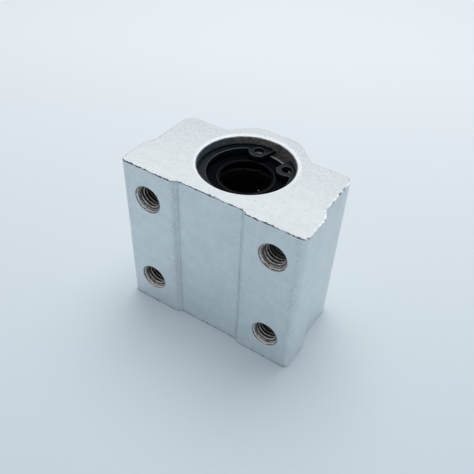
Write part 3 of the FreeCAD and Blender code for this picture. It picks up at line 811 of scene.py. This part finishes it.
def round_off_balls(material):
    for name, node in frame["nodes"].items():
        if "balls" not in name:
            continue
        work = bmesh.new()
        for centre in ball_centres(node.data):
            bmesh.ops.create_icosphere(
                work, subdivisions=BALL_SUBDIVISIONS, radius=BALL_RADIUS,
                matrix=Matrix.Translation(centre))
        mesh = new_mesh(f"round_{name}", work)
        row = add_piece(f"round_{name}", mesh, (material,))
        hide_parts(name)


# Threads: a ridge wound into each tapped hole, cut back by the countersink at its mouth

def thread_mesh(name, mouth):
    """A helical ridge inside a hole that opens towards -Y at the given middle of its mouth."""
    steps = int(THREAD_LENGTH / THREAD_PITCH * THREAD_STEPS_PER_TURN)
    sink_slope = (SINK_RADIUS - THREAD_ROOT_RADIUS) / SINK_DEPTH
    half_crest = THREAD_CREST * THREAD_PITCH / 2
    half_foot = half_crest + THREAD_FLANK * THREAD_PITCH
    foot_radius = THREAD_ROOT_RADIUS + THREAD_SUNK
    profile = (
        (-half_foot, foot_radius),
        (-half_crest, THREAD_CREST_RADIUS),
        (half_crest, THREAD_CREST_RADIUS),
        (half_foot, foot_radius),
    )
    points = []
    for step in range(steps + 1):
        angle = THREAD_START + 2 * math.pi * step / THREAD_STEPS_PER_TURN
        depth = THREAD_PITCH * step / THREAD_STEPS_PER_TURN
        for offset, radius in profile:
            along = min(max(depth + offset, 0.0), THREAD_LENGTH)
            past = max(along - SINK_DEPTH, 0.0)
            cone = SINK_RADIUS + THREAD_SUNK - sink_slope * (along + THREAD_RUN_OUT * past)
            reach = max(radius, cone)
            points.append(mouth + Vector((reach * math.cos(angle), along, reach * math.sin(angle))))
    wide = len(profile)
    faces = []
    for step in range(steps):
        for side in range(wide - 1):
            start = step * wide + side
            faces.append((start, start + 1, start + wide + 1, start + wide))
    mesh = bpy.data.meshes.new(name)
    mesh.from_pydata(points, [], faces)
    mesh.update()
    return mesh


def wind_threads(material):
    for number, mouth in enumerate(hole_mouths(), start=1):
        name = f"thread_{number}"
        add_piece(name, thread_mesh(name, mouth), (material,))


# Studio

def lay_floor():
    corners = [
        (x * FLOOR_HALF_WIDTH, y * FLOOR_HALF_WIDTH, low.z)
        for x, y in ((-1, -1), (1, -1), (1, 1), (-1, 1))
    ]
    mesh = bpy.data.meshes.new("floor")
    mesh.from_pydata(corners, [], [(0, 1, 2, 3)])
    mesh.materials.append(make_floor_paper())
    floor = bpy.data.objects.new("floor", mesh)
    bpy.context.scene.collection.objects.link(floor)


def light_studio():
    """A soft sky all round, which shows as the pale backdrop, and one softbox overhead."""
    world = bpy.data.worlds.new("studio")
    world.use_nodes = True
    tree = world.node_tree
    sky = tree.nodes["Background"]
    sky.inputs["Color"].default_value = SKY_COLOUR
    sky.inputs["Strength"].default_value = SKY_STRENGTH
    backdrop = tree.nodes.new("ShaderNodeBackground")
    backdrop.inputs["Color"].default_value = BACKDROP_COLOUR
    mixed = tree.nodes.new("ShaderNodeMixShader")
    tree.links.new(backdrop_rays(tree), mixed.inputs["Fac"])
    tree.links.new(sky.outputs["Background"], mixed.inputs[1])
    tree.links.new(backdrop.outputs["Background"], mixed.inputs[2])
    tree.links.new(mixed.outputs["Shader"], tree.nodes["World Output"].inputs["Surface"])
    bpy.context.scene.world = world

    data = bpy.data.lights.new("overhead_softbox", "AREA")
    data.shape = "DISK"
    data.size = SOFTBOX_SIZE
    data.energy = SOFTBOX_WATTS
    data.color = SOFTBOX_COLOUR
    light = bpy.data.objects.new("overhead_softbox", data)
    light.location = SOFTBOX_PLACE
    light.rotation_euler = (-Vector(SOFTBOX_PLACE)).to_track_quat("-Z", "Y").to_euler()
    bpy.context.scene.collection.objects.link(light)


def place_camera():
    level = math.cos(VIEW_ELEVATION)
    back = Vector((
        math.sin(VIEW_AZIMUTH) * level, -math.cos(VIEW_AZIMUTH) * level, math.sin(VIEW_ELEVATION)))
    aside = Vector((math.cos(VIEW_AZIMUTH), math.sin(VIEW_AZIMUTH), 0))
    raised = back.cross(aside)
    right = aside * math.cos(VIEW_ROLL) + raised * math.sin(VIEW_ROLL)
    up = raised * math.cos(VIEW_ROLL) - aside * math.sin(VIEW_ROLL)
    data = bpy.data.cameras.new("camera")
    data.lens = LENS
    data.shift_x = LENS_SHIFT_X
    data.shift_y = LENS_SHIFT_Y
    data.clip_start = 0.01
    camera = bpy.data.objects.new("camera", data)
    foot = Vector((0, 0, low.z))
    camera.location = foot + back * VIEW_DISTANCE + right * VIEW_ASIDE + up * VIEW_RAISE
    camera.rotation_euler = Matrix((right, up, back)).transposed().to_euler()
    bpy.context.scene.collection.objects.link(camera)
    bpy.context.scene.camera = camera


random.seed(SEED)
bpy.context.scene.view_settings.view_transform = "Standard"
slots = dress_nodes()
thread_metal = make_thread_metal()
wear_block({
    "block": slots["block_aluminium"],
    "dark_edge": make_dark_edge(),
    "bright_edge": make_bright_edge(),
    "grey_edge": make_grey_edge(),
    "sink": make_swarfy_sink(),
    "bore": make_bored_metal(),
    "thread": thread_metal,
})
ring_edge = make_ring_edge()
for end in ("upper", "lower"):
    ease_circlip(end, slots["circlip_steel"], ring_edge)
round_off_balls(slots["ball_steel"])
wind_threads(thread_metal)
lay_floor()
light_studio()
place_camera()
